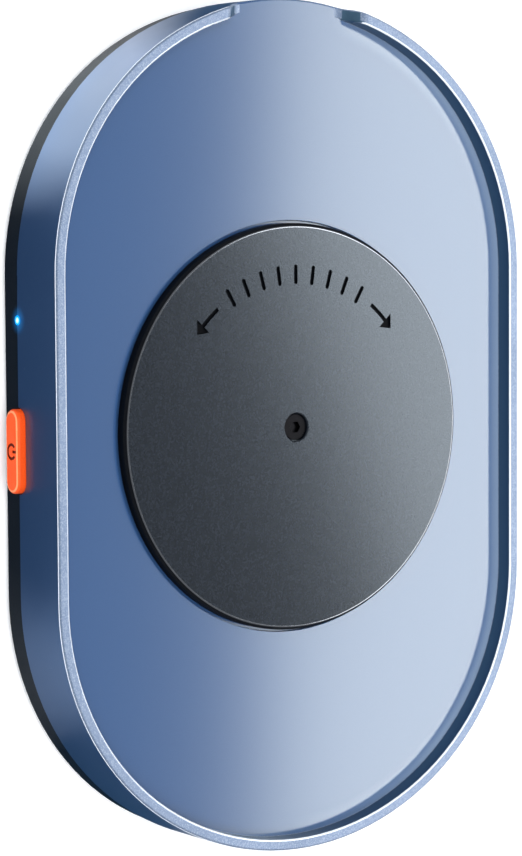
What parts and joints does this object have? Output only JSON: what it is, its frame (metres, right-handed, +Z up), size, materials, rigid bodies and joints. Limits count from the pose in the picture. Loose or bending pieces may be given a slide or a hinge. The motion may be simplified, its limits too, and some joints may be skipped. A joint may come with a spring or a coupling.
{
  "type": "mouse jiggler",
  "caption": "Slim obround desk tray whose small turntable slowly turns under an optical mouse, with a side push button.",
  "frame": {"origin": "on the standing surface under the turntable's axis, which is the case's middle", "axes": "+Z up out of the mouse bay, +Y to the end with the gap in the rim, -X to the side with the button"},
  "size_m": [0.0842, 0.125, 0.0157],
  "materials": {
    "case_blue": "blue anodised, fine sandblast",
    "base_dark": "satin black moulding",
    "disc_dark": "dark grey, fine sandblast",
    "screw_black": "black oxide",
    "gear_white": "natural acetal",
    "pinion_brass": "turned",
    "bush_bronze": "sintered bronze",
    "steel": "ground",
    "washer_nylon": "natural nylon",
    "can_steel": "nickel plated",
    "coil_copper": "enamelled wire under tape",
    "magnet_grey": "bonded ferrite",
    "plug_white": "natural nylon",
    "lead_grey": "sleeved lead",
    "board_green": "solder mask over laminate",
    "chip_black": "moulded",
    "plunger_black": "moulded",
    "led_white": "white package",
    "button_orange": "satin orange moulding",
    "lens_blue": "clear pin, lit cyan",
    "foot_rubber": "matt silicone",
    "screw_steel": "zinc plated"
  },
  "bodies": {
    "case": {"top_case": "case_blue", "bottom_case": "base_dark", "spindle_bush": "bush_bronze", "spindle_pin": "steel", "thrust_washer": "washer_nylon", "idler_pin": "steel", "motor_can": "can_steel", "motor_coil": "coil_copper", "motor_bush": "bush_bronze", "motor_flange": "can_steel", "motor_terminal": "plug_white", "motor_lead": "lead_grey", "motor_plug": "plug_white", "circuit_board": "board_green", "control_chip": "chip_black", "status_led": "led_white", "tact_switch": "chip_black", "light_pipe": "lens_blue", "usb_socket": "can_steel", "usb_tongue": "chip_black", "rubber_feet": "foot_rubber", "case_screws": "screw_black", "motor_screws": "screw_steel", "board_screws": "screw_steel"},
    "turntable": {"turntable_disc": "disc_dark", "disc_screw": "screw_black", "turntable_gear": "gear_white"},
    "idler": {"idler_gear": "gear_white"},
    "rotor": {"rotor_shaft": "steel", "rotor_magnet": "magnet_grey", "motor_pinion": "pinion_brass"},
    "button": {"power_button": "button_orange", "switch_plunger": "plunger_black"}
  },
  "joints": [
    {"name": "turntable_spin", "type": "hinge", "parent": "case", "child": "turntable", "pos_m": [0, 0, 0.0127], "axis": [0, 0, 1], "continuous": true},
    {"name": "idler_spin", "type": "hinge", "parent": "case", "child": "idler", "pos_m": [0, -0.0215, 0.008], "axis": [0, 0, 1], "continuous": true},
    {"name": "rotor_spin", "type": "hinge", "parent": "case", "child": "rotor", "pos_m": [0, -0.0355, 0.008], "axis": [0, 0, 1], "continuous": true},
    {"name": "button_push", "type": "slide", "parent": "case", "child": "button", "axis": [1, 0, 0], "range_m": [0, 0.0004], "stiffness_N_per_m": 60}
  ],
  "couplings": [
    {"joint": "idler_spin", "follows": "turntable_spin", "ratio": -5.1429},
    {"joint": "rotor_spin", "follows": "turntable_spin", "ratio": 18.857}
  ]
}
